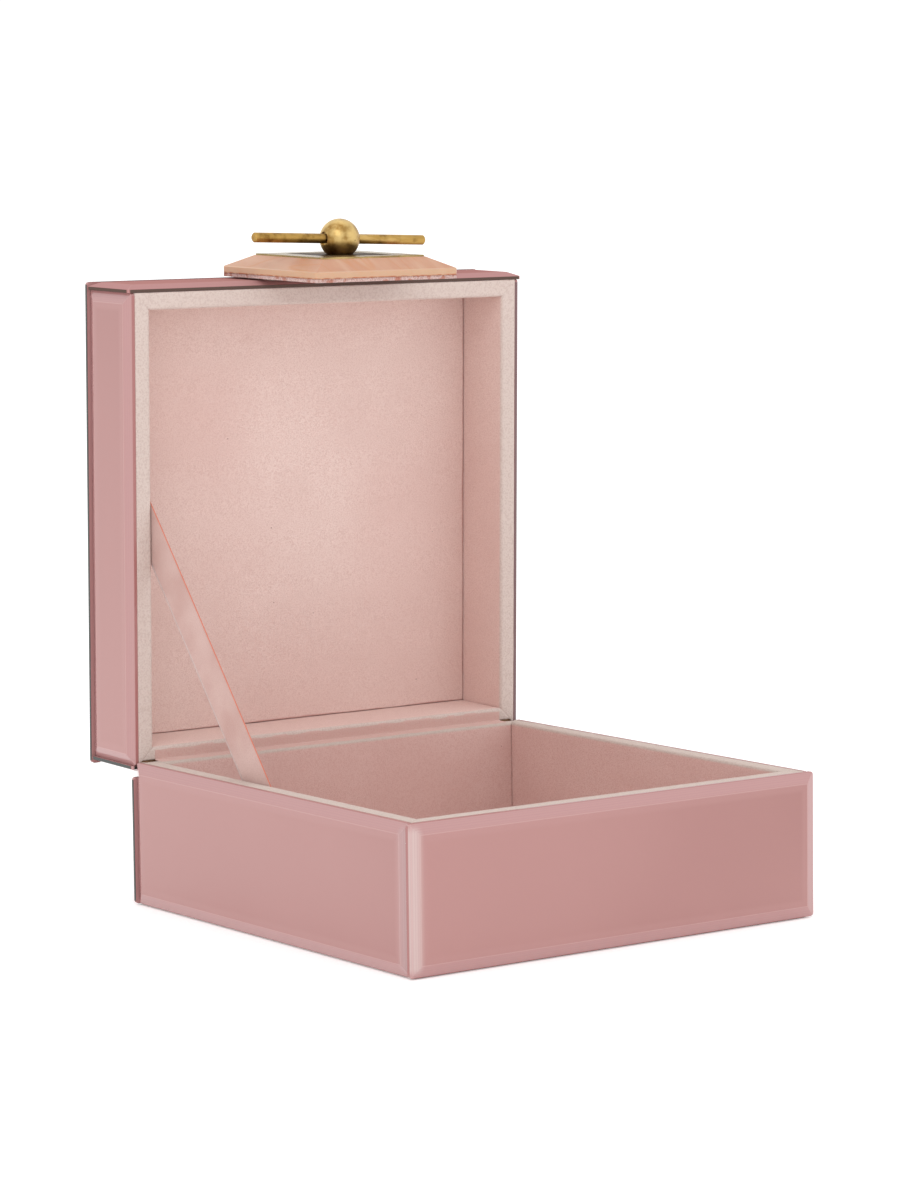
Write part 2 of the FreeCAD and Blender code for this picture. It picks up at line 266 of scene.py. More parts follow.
# ---- materials ----------------------------------------------------------------------------
def painted_glass(node, wall, body, edge_colour, painted_highlight_end=None):
    """Clear bevelled glass with pink paint behind it, laid out from the panel's own edges.

    The end given here (-1 or 1) gets a painted highlight on its bevel, in the colour given with it.
    """
    low, high = node_box(node)
    spin = turned(body)
    along, up = (spin.to_3x3() @ axis for axis in WALLS[wall][:2])
    middle = spin @ ((low + high) / 2)
    size = high - low
    half_along = abs(size.dot(WALLS[wall][0])) / 2
    half_up = abs(size.dot(WALLS[wall][1])) / 2
    chosen = finish_settings()
    bevel = chosen.bevel_width

    # Held back on the lid's front panel, which would otherwise mirror the white room when open.
    gloss = 0.0 if node == "lid_front_glass" else 1.0
    shade = Shade("glass_" + node, Coat_Weight=0.35 * gloss, Coat_Roughness=0.03, IOR=1.5,
                  Specular_IOR_Level=0.4 * gloss)
    across = shade.along(along, middle)
    height = shade.along(up, middle)
    from_side = half_along - abs(across)
    from_end = half_up - abs(height)
    edge = from_side.least(from_end)

    paint = rgba(chosen.glass_colour)
    # Painted shade: each panel darkens towards the end its along axis points to, in clouds.
    cloud = shade.noise(9.0, 1.0)
    colour = shade.mix(paint, tone(150, 100, 96), across.rise(-half_along, half_along * 1.2) * 0.6
                       * cloud.rise(0.2, 0.8))
    # Painted reflection: the bevels are tinted paler and more lilac than the flat.
    painted_bevel_reflection = tone(177, 133, 131)
    # Painted reflection: the bevel's far side shows again in the paint as a pale band inside the
    # bevel line.
    painted_reflection_band = edge.fall(bevel * 1.35, bevel * 1.85) * 0.3
    colour = shade.mix(colour, tone(176, 130, 127), painted_reflection_band)
    colour = shade.mix(colour, painted_bevel_reflection, edge.fall(bevel * 0.8, bevel * 1.15))
    # Painted highlight: the chosen end's bevel is painted pale, and a line is drawn near the end.
    if painted_highlight_end:
        end, light = painted_highlight_end
        near = half_along - across * end
        painted_highlight = near.fall(bevel * 0.45, bevel * 1.5) * from_end.rise(0, bevel * 0.9)
        colour = shade.mix(colour, light, painted_highlight)
        colour = shade.mix(colour, tone(190, 150, 148), near.line(bevel * 0.28, 0.5 * MM) * 0.5)
    for share, strength in ((0.18, 0.25), (0.36, 0.2), (0.55, 0.25), (0.76, 0.2)):
        colour = shade.mix(colour, tone(160, 116, 122),
                           edge.line(bevel * share, 0.22 * MM) * strength)
    colour = shade.mix(colour, tone(204, 168, 165), edge.line(bevel, 0.3 * MM) * 0.3)
    mitre = (from_side - from_end).line(0, 0.3 * MM) * edge.fall(bevel * 0.9, bevel)
    colour = shade.mix(colour, tone(202, 170, 168), mitre * 0.2)
    colour = shade.mix(colour, tone(140, 84, 82), edge.fall(0.15 * MM, 0.4 * MM) * 0.4)
    on_edge = edge.fall(0.04 * MM, 0.1 * MM)
    colour = shade.mix(colour, edge_colour, on_edge)
    colour = shade.mix(colour, tone(120, 80, 78), shade.specks(28 * MM, 0.32 * MM) * 0.5)
    ripple = shade.noise(55.0, 1.0)
    shade.bump(ripple, 0.02 * MM)
    return shade.give(Base_Color=colour, Roughness=on_edge * 0.35 + 0.07)


def velvet(name, colour, shadow, painted_tone=None, rim=None):
    """Short velvet pile; rim is a wire-making function that is 1 where the given tone is laid over
    the pile: a painted highlight on the rims, painted shade along the ceiling pad's edges.
    """
    shade = Shade(name, Sheen_Weight=0.35, Sheen_Roughness=0.5)
    shade.surface.inputs["Sheen Tint"].default_value = tone(250, 226, 218)
    fibre = shade.noise(2600.0, 3.0)
    tuft = shade.noise(1300.0, 2.0)
    nap = shade.noise(30.0, 2.0)
    made = shade.mix(shadow, colour, nap.rise(0.25, 0.7) * 0.25 + 0.75)
    made = shade.mix(made, shadow, (fibre.fall(0.38, 0.58) * 0.5 + tuft.fall(0.36, 0.56) * 0.35))
    made = shade.mix(made, tone(206, 164, 156), shade.noise(10.0, 1.0).rise(0.4, 0.7) * 0.3)
    # Painted highlight on the rims, painted shade on the ceiling pad's edges, laid over the pile.
    if rim is not None:
        where = rim(shade)
        over = shade.mix(painted_tone, tone(160, 128, 120), tuft.fall(0.36, 0.56) * 0.25)
        made = shade.mix(made, over, where)
    made = shade.mix(made, tone(104, 62, 56), shade.specks(11 * MM, 0.34 * MM) * 0.8)
    pile = fibre * 0.6 + tuft * 0.4
    shade.bump(pile, 0.35 * MM, 0.8)
    return shade.give(Base_Color=made, Roughness=0.95)


def peach_stone():
    low, high = node_box("handle_stone_plate")
    spin = turned("lid").to_3x3()
    middle = OPENED @ ((low + high) / 2)
    chosen = finish_settings()
    shade = Shade("peach_stone", Coat_Weight=0.0, Specular_IOR_Level=0.3,
                  Subsurface_Weight=0.12, Subsurface_Scale=0.003)
    across = shade.along(spin @ Vector((1, 0, 0)), middle)
    height = shade.along(spin @ Vector((0, 0, 1)), middle)
    depth = shade.along(spin @ Vector((0, -1, 0)), middle)
    half = (high - low).x / 2
    vein = shade.noise(40.0, 4.0, shade.stretched((3.0, 0.5, 0.5)))
    cloud = shade.noise(120.0, 4.0)
    colour = shade.mix(rgba(chosen.stone_colour), tone(197, 156, 129), vein.rise(0.42, 0.72) * 0.7)
    colour = shade.mix(colour, tone(178, 125, 98), cloud.rise(0.56, 0.72) * 0.35)
    streak = shade.noise(15.0, 1.0, shade.stretched((6.0, 1.0, 0.4))).line(0.5, 0.025)
    colour = shade.mix(colour, tone(188, 124, 78), streak * 0.55)
    edge = (half - abs(across)).least(half - abs(height))
    colour = shade.mix(colour, tone(203, 168, 138), edge.fall(0.3 * MM, 1.0 * MM) * 0.7)
    residue = depth.fall(-(high - low).y / 2 + 0.1 * MM, -(high - low).y / 2 + 0.7 * MM)
    colour = shade.mix(colour, tone(164, 88, 50), residue * shade.noise(300.0, 3.0).rise(0.3, 0.6))
    shade.bump(cloud, 0.05 * MM, 0.5)
    return shade.give(Base_Color=colour, Roughness=cloud * 0.15 + 0.27)


def aged_brass(name, colour, dark, wear, roughness, pits=0.0):
    """Brass dulled by handling: brown in the hollows, fine brushing, and small pits."""
    shade = Shade(name, Metallic=1.0, Coat_Weight=0.0)
    brushed = shade.noise(260.0, 3.0, shade.stretched((0.18, 1.0, 1.0)))
    patina = shade.noise(170.0, 4.0)
    made = shade.mix(dark, colour, patina.rise(0.30, 0.30 + wear))
    made = shade.mix(made, tone(236, 204, 138), brushed.rise(0.55, 0.75) * 0.4)
    height = brushed
    if pits:
        holes = shade.specks(3.2 * MM, 0.34 * MM)
        made = shade.mix(made, tone(58, 34, 14), holes * pits)
        height = brushed - holes * 2
    shade.bump(height, 0.05 * MM, 0.7)
    return shade.give(Base_Color=made, Roughness=patina * 0.22 + roughness)


def plain_material(name, colour, shadow, scale, roughness, bump_height, metallic=0.0):
    """Boards, felt, glue foam and steel, which hardly show."""
    shade = Shade(name, Metallic=metallic)
    grain = shade.noise(scale, 4.0)
    made = shade.mix(shadow, colour, grain.rise(0.3, 0.7))
    shade.bump(grain, bump_height, 0.7)
    return shade.give(Base_Color=made, Roughness=grain * 0.2 + roughness)


def set_material(thing, material):
    thing.data.materials.clear()
    thing.data.materials.append(material)


def coat_node(node, material):
    """Give a carried-over node its finish, without touching its mesh."""
    thing = frame["nodes"][node]
    if not thing.material_slots:
        thing.data.materials.append(material)
    for slot in thing.material_slots:
        slot.material = material


# ---- mesh building ------------------------------------------------------------------------
def mesh_piece(name, points, faces, material, smooth=True):
    mesh = bpy.data.meshes.new(name)
    mesh.from_pydata([tuple(p) for p in points], [], faces)
    shaped = bmesh.new()
    shaped.from_mesh(mesh)
    bmesh.ops.remove_doubles(shaped, verts=shaped.verts, dist=1e-7)
    bmesh.ops.recalc_face_normals(shaped, faces=shaped.faces)
    if shaped.calc_volume(signed=True) < 0:
        bmesh.ops.reverse_faces(shaped, faces=shaped.faces)
    shaped.to_mesh(mesh)
    shaped.free()
    mesh.polygons.foreach_set("use_smooth", [smooth] * len(mesh.polygons))
    piece = bpy.data.objects.new(name, mesh)
    bpy.context.scene.collection.objects.link(piece)
    set_material(piece, material)
    return piece


def lofted(name, rings, material):
    """A closed skin over a row of closed rings, with its two ends capped."""
    count = len(rings[0])
    points = [point for ring in rings for point in ring]
    faces = []
    for row in range(len(rings) - 1):
        for i in range(count):
            j = (i + 1) % count
            a, b = row * count, (row + 1) * count
            faces.append((a + i, a + j, b + j, b + i))
    for start in (0, (len(rings) - 1) * count):
        faces.append(tuple(range(start, start + count)))
    return mesh_piece(name, points, faces, material)


def spaced(low, high, fine, coarse, growth=1.5):
    """Places from low to high, fine near both ends and coarse between them."""
    steps = []
    step = fine
    reach = 0.0
    while step < coarse and reach + step < (high - low) / 2:
        reach += step
        steps.append(reach)
        step *= growth
    inner = (high - low) - 2 * reach
    count = max(1, round(inner / coarse))
    middle = [low + reach + inner * i / count for i in range(1, count)]
    return ([low] + [low + s for s in steps] + middle
            + [high - s for s in reversed(steps)] + [high])


def arc(centre, radius, start, stop, count):
    """Points on a quarter turn, each a (depth, height) pair."""
    turns = [math.radians(start + (stop - start) * i / count) for i in range(count + 1)]
    return [(centre[0] + radius * math.cos(t), centre[1] + radius * math.sin(t)) for t in turns]


def run(start, stop, step):
    count = max(1, round(math.dist(start, stop) / step))
    return [(start[0] + (stop[0] - start[0]) * i / count,
             start[1] + (stop[1] - start[1]) * i / count) for i in range(1, count + 1)]


def soft(point, scale, height):
    """A small, smooth, repeatable unevenness."""
    return noise.noise(point * scale) * height


# ---- velvet pieces ------------------------------------------------------------------------
def lining_profile(outer, inner, board_in, foot, rim, notch):
    """Section of a wall's lining: up the inner face, over a soft corner and out along the rim."""
    thick = board_in - inner
    side = 1 if rim > foot else -1
    bend, lip = 1.3 * MM, 0.5 * MM
    skin = [(inner, foot)]
    skin += run(skin[-1], (inner, rim - side * bend), 1.6 * MM)
    corner = arc((inner + bend, 0), bend, 180, 90, 6)
    skin += [(d, rim - side * (bend - h)) for d, h in corner[1:]]
    skin += run(skin[-1], (outer - lip - notch, rim), 0.7 * MM)
    edge = arc((outer - lip - notch, 0), lip, 90, 0, 4)
    skin += [(d, rim - side * (lip - h)) for d, h in edge[1:]]
    skin.append((outer - notch, rim - side * thick))
    skin.append((board_in, rim - side * thick))
    skin.append((board_in, foot))
    return skin


def make_lining(body, wall, material):
    """One wall's velvet, mitred at both corners where its neighbours meet it."""
    prefix = body + "_"
    node = prefix + wall + "_lining"
    along, _, outward = WALLS[wall]
    board_low, board_high = node_box(prefix + wall + "_board")
    low, high = node_box(node)
    outer = max(abs(board_low.dot(outward)), abs(board_high.dot(outward)))
    board_in = min(abs(board_low.dot(outward)), abs(board_high.dot(outward)))
    inner = min(abs(low.dot(outward)), abs(high.dot(outward)))
    if wall in ("left", "right"):
        board_in = inner + (node_box(prefix + "front_lining")[1].y
                            - node_box(prefix + "front_board")[1].y)
    foot, rim = (low.z, high.z) if body == "base" else (high.z, low.z)
    side_outer = WALL_REACH[1] if wall in ("front", "back") else WALL_REACH[0]
    half_run = {"front": WALL_REACH[0], "back": WALL_REACH[0],
                "left": WALL_REACH[1], "right": WALL_REACH[1]}[wall]
    notch = KNUCKLE_NOTCH if wall == "back" else 0.0
    section = lining_profile(outer, inner, board_in, foot, rim, notch)
    chosen = finish_settings()
    spin = turned(body)
    rings = []
    for place in spaced(-1.0, 1.0, 0.0016, 0.028):
        ring = []
        for depth, height in section:
            reach = half_run - (side_outer - depth)
            point = along * (reach * place) + outward * depth + UP * height
            to_mitre = reach * (1 - abs(place))
            dip = chosen.seam_depth * math.exp(-(to_mitre / (0.55 * MM)) ** 2)
            hidden = depth >= board_in - 1e-6 and abs(height - rim) > 0.9 * MM
            if not hidden:
                pull = dip - soft(point, 130.0, chosen.nap_height)
                on_rim = min(1.0, max(0.0, (depth - inner) / (1.3 * MM)))
                point += outward * pull * (1 - on_rim)
                point += UP * (-pull if body == "base" else pull) * on_rim
            ring.append(spin @ point)
        rings.append(ring)
    piece = lofted("velvet_" + body + "_" + wall, rings, material)
    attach(piece, body)
    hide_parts(node)
    cut = abs(rim - foot) + (outer - inner)
    (2 * half_run - outer + inner) * cut
    return piece


def make_pad(name, node, body, material, facing, radius, crown, fill):
    """A card covered with velvet: flat, with soft edges and a slight crown."""
    low, high = node_box(node)
    half = (high - low) / 2
    middle = (low + high) / 2
    chosen = finish_settings()
    spin = turned(body)
    across = spaced(-half.x, half.x, 0.15 * MM, 3.0 * MM)
    deep = spaced(-half.y, half.y, 0.15 * MM, 3.0 * MM)
    thick = 2 * half.z
    ripple = chosen.nap_height if fill else 0.0
    skin, back = [], []
    for y in deep:
        for x in across:
            inset = min(half.x - abs(x), half.y - abs(y))
            lost = radius - math.sqrt(max(0.0, radius ** 2 - max(0.0, radius - inset) ** 2))
            rise = crown * (1 - (x / half.x) ** 4) * (1 - (y / half.y) ** 4)
            spot = Vector((x, y, 0))
            top = thick - crown - lost + rise + soft(spot, 90.0, ripple) * (inset > 0)
            skin.append(spin @ (middle + Vector((x, y, facing * (top - half.z)))))
            back.append(spin @ (middle + Vector((x, y, -facing * half.z))))
    wide, tall = len(across), len(deep)
    total = wide * tall
    faces = []
    for j in range(tall - 1):
        for i in range(wide - 1):
            a = j * wide + i
            square = (a, a + 1, a + wide + 1, a + wide)
            faces.append(square)
            faces.append(tuple(total + k for k in reversed(square)))
    border = ([i for i in range(wide)] + [j * wide + wide - 1 for j in range(1, tall)]
              + [(tall - 1) * wide + i for i in range(wide - 2, -1, -1)]
              + [j * wide for j in range(tall - 2, 0, -1)])
    for a, b in zip(border, border[1:] + border[:1]):
        faces.append((a, total + a, total + b, b))
    piece = mesh_piece(name, skin + back, faces, material)
    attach(piece, body)
    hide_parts(node)
    return piece


def rim_mask(body):
    """Paler pile on a rim, where the light catches the fold."""
    spin = turned(body).to_3x3()
    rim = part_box("base_front_lining")[1].z if body == "base" else shut_box("lid_front_lining")[0].z
    centre = turned(body) @ Vector((0, 0, rim))
    direction = spin @ UP

    def mask(shade):
        return abs(shade.along(direction, centre)).fall(0.5 * MM, 1.6 * MM)
    return mask


def painted_seam_shade(shade):
    """Painted shade along the ceiling pad's right and lower edges, where it meets the walls, not
    quite straight.
    """
    low, high = shut_box("lid_ceiling_pad")
    half = (high - low) / 2
    middle = OPENED @ ((low + high) / 2)
    spin = OPENED.to_3x3()
    from_right = half.x - shade.along(spin @ Vector((1, 0, 0)), middle)
    from_foot = half.y - shade.along(spin @ Vector((0, 1, 0)), middle)
    waver = shade.noise(60.0, 1.0) * (1.6 * MM)
    return (from_right.least(from_foot) + waver).fall(0.8 * MM, 1.7 * MM) * 0.7


def piles(body):
    """The two velvet colours of a body: the pile, and the shadow between the fibres. The lid's pair
    is the base's velvet painted paler, to make up for the less light the lid's inside gets.
    """
    chosen = finish_settings()
    if body == "lid":
        return rgba(chosen.lid_velvet), rgba(chosen.lid_shadow_painted_paler)
    return rgba(chosen.velvet_colour), rgba(chosen.velvet_shadow)


# ---- trails of small things along an edge -------------------------------------------------
def trail_tree(name, add_shape):
    """Geometry tree that sets one small shape many times along a line."""
    tree = bpy.data.node_groups.new(name, "GeometryNodeTree")
    face = tree.interface
    face.new_socket("Line", in_out="INPUT", socket_type="NodeSocketGeometry")
    for label in ("Spacing", "Length", "Thickness", "Tilt", "Scatter"):
        face.new_socket(label, in_out="INPUT", socket_type="NodeSocketFloat")
    face.new_socket("Finish", in_out="INPUT", socket_type="NodeSocketMaterial")
    face.new_socket("Result", in_out="OUTPUT", socket_type="NodeSocketGeometry")

    def add(kind, settings=None, **inputs):
        made = tree.nodes.new(kind)
        for key, value in (settings or {}).items():
            setattr(made, key, value)
        for key, value in inputs.items():
            socket = made.inputs[key.replace("_", " ")]
            if isinstance(value, bpy.types.NodeSocket):
                tree.links.new(value, socket)
            else:
                socket.default_value = value
        return made

    given = add("NodeGroupInput").outputs
    line = add("GeometryNodeMeshToCurve", Mesh=given["Line"])
    dots = add("GeometryNodeResampleCurve", {"mode": "LENGTH"}, Curve=line.outputs[0],
               Length=given["Spacing"])
    points = add("GeometryNodeCurveToPoints", {"mode": "EVALUATED"}, Curve=dots.outputs[0])
    minus = add("ShaderNodeMath", {"operation": "MULTIPLY"})
    tree.links.new(given["Scatter"], minus.inputs[0])
    minus.inputs[1].default_value = -1.0

    def random_vector(low, high, seed):
        pack = []
        for value in (low, high):
            joined = add("ShaderNodeCombineXYZ")
            for axis in range(3):
                if isinstance(value, bpy.types.NodeSocket):
                    tree.links.new(value, joined.inputs[axis])
                else:
                    joined.inputs[axis].default_value = value[axis]
            pack.append(joined.outputs[0])
        made = add("FunctionNodeRandomValue", {"data_type": "FLOAT_VECTOR"}, Seed=seed)
        tree.links.new(pack[0], made.inputs[0])
        tree.links.new(pack[1], made.inputs[1])
        return made.outputs[0]

    offset = random_vector(minus.outputs[0], given["Scatter"], 3)
    moved = add("GeometryNodeSetPosition", Geometry=points.outputs[0], Offset=offset)
    tilt_low = add("ShaderNodeMath", {"operation": "MULTIPLY"})
    tree.links.new(given["Tilt"], tilt_low.inputs[0])
    tilt_low.inputs[1].default_value = -1.0
    lean = random_vector(tilt_low.outputs[0], given["Tilt"], 11)
    size = random_vector((0.55, 0.55, 0.45), (1.0, 1.0, 1.25), 23)
    shape = add_shape(add, given)
    placed = add("GeometryNodeInstanceOnPoints", Points=moved.outputs[0],
                 Instance=shape, Scale=size)
    turn = add("FunctionNodeEulerToRotation", Euler=lean)
    tree.links.new(turn.outputs[0], placed.inputs["Rotation"])
    real = add("GeometryNodeRealizeInstances", Geometry=placed.outputs[0])
    finished = add("GeometryNodeSetMaterial", Geometry=real.outputs[0], Material=given["Finish"])
    result = add("NodeGroupOutput")
    tree.links.new(finished.outputs[0], result.inputs[0])
    return tree


def fibre_shape(add, given):
    return add("GeometryNodeMeshCone", {"fill_type": "NGON"}, Vertices=3,
               Radius_Bottom=given["Thickness"], Radius_Top=0.0,
               Depth=given["Length"]).outputs[0]


def bead_shape(add, given):
    ball = add("GeometryNodeMeshIcoSphere", Radius=given["Thickness"], Subdivisions=2)
    return ball.outputs[0]


def trail(name, tree, corners, body, sizes, material):
    """Runs a trail tree along lines given with the lid shut, and keeps the result as a mesh."""
    points, edges = [], []
    for line in corners:
        start = len(points)
        points.extend(line)
        edges.extend((start + i, start + i + 1) for i in range(len(line) - 1))
    mesh = bpy.data.meshes.new(name + "_line")
    mesh.from_pydata([tuple(p) for p in points], edges, [])
    guide = bpy.data.objects.new(name + "_line", mesh)
    bpy.context.scene.collection.objects.link(guide)
    modifier = guide.modifiers.new("trail", "NODES")
    modifier.node_group = tree
    for item in tree.interface.items_tree:
        if item.in_out == "INPUT" and item.name in sizes:
            modifier[item.identifier] = sizes[item.name]
        if item.in_out == "INPUT" and item.name == "Finish":
            modifier[item.identifier] = material
    graph = bpy.context.evaluated_depsgraph_get()
    made = bpy.data.meshes.new_from_object(guide.evaluated_get(graph))
    bpy.data.objects.remove(guide)
    made.transform(turned(body))
    piece = bpy.data.objects.new(name, made)
    bpy.context.scene.collection.objects.link(piece)
    if not made.polygons:
        raise RuntimeError(name + " came out empty")
    set_material(piece, material)
    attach(piece, body)
    return piece


def loop(half_x, half_y, height):
    """A closed rectangle at one height."""
    return [Vector((x, y, height)) for x, y in (
        (-half_x, -half_y), (half_x, -half_y), (half_x, half_y), (-half_x, half_y),
        (-half_x, -half_y))]


# ---- settings -----------------------------------------------------------------------------
class JewelryBoxSettings(bpy.types.PropertyGroup):
    glass_colour: FloatVectorProperty(
        name="Glass paint", description="Pink paint behind the glass", subtype="COLOR",
        size=3, min=0, max=1, default=tone(170, 122, 118)[:3])
    velvet_colour: FloatVectorProperty(
        name="Velvet", description="Pile seen straight on", subtype="COLOR",
        size=3, min=0, max=1, default=tone(216, 188, 181)[:3])
    # Painted light: the lid's velvet and its shadow are the base's velvet painted paler, to make up
    # for the less light the lid's inside gets.
    lid_velvet: FloatVectorProperty(
        name="Lid velvet", description="Pile in the lid, which stands in less light",
        subtype="COLOR", size=3, min=0, max=1, default=tone(230, 206, 198)[:3])
    lid_shadow_painted_paler: FloatVectorProperty(
        name="Lid velvet shadow", description="Between the fibres in the lid",
        subtype="COLOR", size=3, min=0, max=1, default=tone(210, 178, 170)[:3])
    velvet_shadow: FloatVectorProperty(
        name="Velvet shadow", description="Between the fibres", subtype="COLOR",
        size=3, min=0, max=1, default=tone(196, 154, 146)[:3])
    stone_colour: FloatVectorProperty(
        name="Stone", description="Peach of the handle's plate", subtype="COLOR",
        size=3, min=0, max=1, default=tone(186, 134, 104)[:3])
    brass_colour: FloatVectorProperty(
        name="Brass", description="Aged brass of the ball and bar", subtype="COLOR",
        size=3, min=0, max=1, default=tone(182, 146, 80)[:3])
    bevel_width: FloatProperty(
        name="Bevel", description="Width of the bevel round each glass panel",
        default=4.6 * MM, min=1 * MM, max=10 * MM, subtype="DISTANCE", unit="LENGTH")
    nap_height: FloatProperty(
        name="Nap", description="Unevenness of the velvet",
        default=0.10 * MM, min=0, max=1 * MM, subtype="DISTANCE", unit="LENGTH")
    seam_depth: FloatProperty(
        name="Seam", description="How far the velvet pulls in at a mitre",
        default=0.12 * MM, min=0, max=1 * MM, subtype="DISTANCE", unit="LENGTH")
    fibre_length: FloatProperty(
        name="Fibres", description="Loose fibres along the rims",
        default=0.38 * MM, min=0, max=2 * MM, subtype="DISTANCE", unit="LENGTH")
    ribbon_sway: FloatProperty(
        name="Ribbon sway", description="How far the ribbon bows off a straight line",
        default=0.5 * MM, min=0, max=3 * MM, subtype="DISTANCE", unit="LENGTH")
    floor_size: FloatProperty(
        name="Floor", description="Half width of the floor",
        default=30.0, min=1, max=100, subtype="DISTANCE", unit="LENGTH")


class MakeStage(bpy.types.Operator):
    """Camera, soft studio lights and a pale floor"""
    bl_idname = "jewelry_box.make_stage"
    bl_label = "Stage"

    def execute(self, context):
        scene = context.scene
        scene.view_settings.view_transform = "Standard"
        yaw, pitch, roll = (math.radians(a) for a in CAMERA_TURN)
        lens = bpy.data.cameras.new("camera")
        lens.sensor_width = 36.0
        lens.lens = CAMERA_LENS
        lens.clip_end = 100.0
        camera = bpy.data.objects.new("camera", lens)
        forward = Vector((math.sin(yaw) * math.cos(pitch), math.cos(yaw) * math.cos(pitch),
                          -math.sin(pitch)))
        level = Vector((math.cos(yaw), -math.sin(yaw), 0))
        top = level.cross(forward)
        right = level * math.cos(roll) + top * math.sin(roll)
        upward = top * math.cos(roll) - level * math.sin(roll)
        turn = Matrix((right, upward, -forward)).transposed()
        camera.matrix_world = (Matrix.Translation(Vector(CAMERA_PLACE))
                               @ turn.to_4x4())
        scene.collection.objects.link(camera)
        scene.camera = camera

        world = bpy.data.worlds.new("studio")
        scene.world = world
        world.use_nodes = True
        world.node_tree.nodes["Background"].inputs[0].default_value = (1, 1, 1, 1)
        world.node_tree.nodes["Background"].inputs[1].default_value = WORLD_STRENGTH
        for name, place, aim, size, power in (
                ("key", (-1.2, -1.0, 1.5), (0, 0, 0.12), 1.2, 6.0),
                ("fill", (1.3, -1.4, 0.9), (0, 0, 0.12), 1.4, 1.5),
                ("top", (0.0, 0.3, 1.9), (0, 0, 0.1), 1.6, 3.0)):
            lamp = bpy.data.lights.new(name, "AREA")
            lamp.size = size
            lamp.energy = power
            lit = bpy.data.objects.new(name, lamp)
            lit.location = place
            lit.rotation_euler = (Vector(aim) - Vector(place)).to_track_quat("-Z", "Y").to_euler()
            scene.collection.objects.link(lit)

        reach = scene.jewelry_box.floor_size
        shade = Shade("studio_floor", Emission_Color=(1, 1, 1, 1), Emission_Strength=FLOOR_GLOW)
        paper = shade.noise(6.0, 3.0)
        shade.give(Base_Color=shade.mix(tone(251, 251, 251), tone(253, 253, 253), paper),
                   Roughness=0.9)
        corners = [Vector((x, y, 0)) for x, y in ((-reach, -reach), (reach, -reach),
                                                  (reach, reach), (-reach, reach))]
        floor = mesh_piece("studio_floor", corners, [(0, 1, 2, 3)], shade.material, False)
        return {"FINISHED"}


class FinishGlass(bpy.types.Operator):
    """Back-painted bevelled glass on every outer face"""
    bl_idname = "jewelry_box.finish_glass"
    bl_label = "Painted glass"

    def execute(self, context):
        dark = tone(38, 44, 40)
        umber = tone(92, 76, 70)
        red = tone(160, 104, 101)
        mauve = tone(112, 82, 84)
        # Painted highlights: the front panel's left bevel and the left panel's front bevel.
        painted_highlight = {"base_front": (-1, tone(194, 168, 164)), "base_left": (1, tone(178, 146, 145))}
        edges = {"base_back": dark, "lid_top": dark, "lid_front": umber, "lid_back": dark,
                 "lid_right": mauve}
        for node in frame["nodes"]:
            if node.endswith("_glass"):
                body, wall, _ = node.split("_")
                edge = edges.get(body + "_" + wall, red)
                coat_node(node, painted_glass(node, wall, body, edge,
                                              painted_highlight.get(body + "_" + wall)))
        return {"FINISHED"}


class FinishHandle(bpy.types.Operator):
    """Stone plate, brass frame, ball and bar"""
    bl_idname = "jewelry_box.finish_handle"
    bl_label = "Handle"

    def execute(self, context):
        brass = rgba(context.scene.jewelry_box.brass_colour)
        brown = tone(126, 92, 42)
        coat_node("handle_stone_plate", peach_stone())
        # Painted highlight: the ball's brass is painted paler than the bar's.
        ball = aged_brass("ball_brass", tone(212, 182, 120), tone(150, 112, 54), 0.30, 0.26,
                          pits=0.9)
        rod = aged_brass("bar_brass", brass, brown, 0.22, 0.36)
        plate = aged_brass("frame_brass", tone(156, 136, 94), tone(136, 114, 74), 0.5, 0.16)
        seat = aged_brass("seat_brass", tone(70, 48, 34), tone(54, 36, 26), 0.5, 0.45)
        for node, material in (("handle_ball", ball), ("handle_bar", rod),
                               ("handle_brass_frame", plate), ("handle_brass_seat", seat)):
            coat_node(node, material)
        foam = plain_material("bond_foam", tone(206, 186, 172), tone(176, 150, 134), 900.0, 0.8,
                              0.05 * MM)
        steel = plain_material("stud_steel", tone(168, 168, 170), tone(120, 120, 122), 500.0,
                               0.3, 0.02 * MM, 1.0)
        coat_node("handle_bond_pad", foam)
        coat_node("handle_stud", steel)
        coat_node("hinge_pin", steel)
        return {"FINISHED"}


class FinishFrame(bpy.types.Operator):
    """Boards, hinge leaves and screws, which show from behind and below"""
    bl_idname = "jewelry_box.finish_frame"
    bl_label = "Boards and hinge"

    def execute(self, context):
        board = plain_material("fibreboard", tone(164, 128, 98), tone(132, 98, 72), 700.0, 0.8,
                               0.08 * MM)
        hinge = aged_brass("hinge_brass", tone(204, 166, 92), tone(150, 110, 52), 0.35, 0.22)
        for node in frame["nodes"]:
            if node.endswith("_board"):
                coat_node(node, board)
            if node.startswith("hinge_") and node != "hinge_pin":
                coat_node(node, hinge)
        return {"FINISHED"}


class MakeLinings(bpy.types.Operator):
    """Velvet over the walls and rims, mitred at the corners"""
    bl_idname = "jewelry_box.make_linings"
    bl_label = "Velvet linings"

    def execute(self, context):
        # Painted highlight: the rims' pile paler where the light catches the fold, the lid's paler
        # again.
        painted_rim_highlights = {"base": tone(191, 177, 168), "lid": tone(206, 189, 181)}
        for body in ("base", "lid"):
            material = velvet("velvet_" + body, *piles(body), painted_rim_highlights[body], rim_mask(body))
            for wall in SIDES:
                make_lining(body, wall, material)
        return {"FINISHED"}


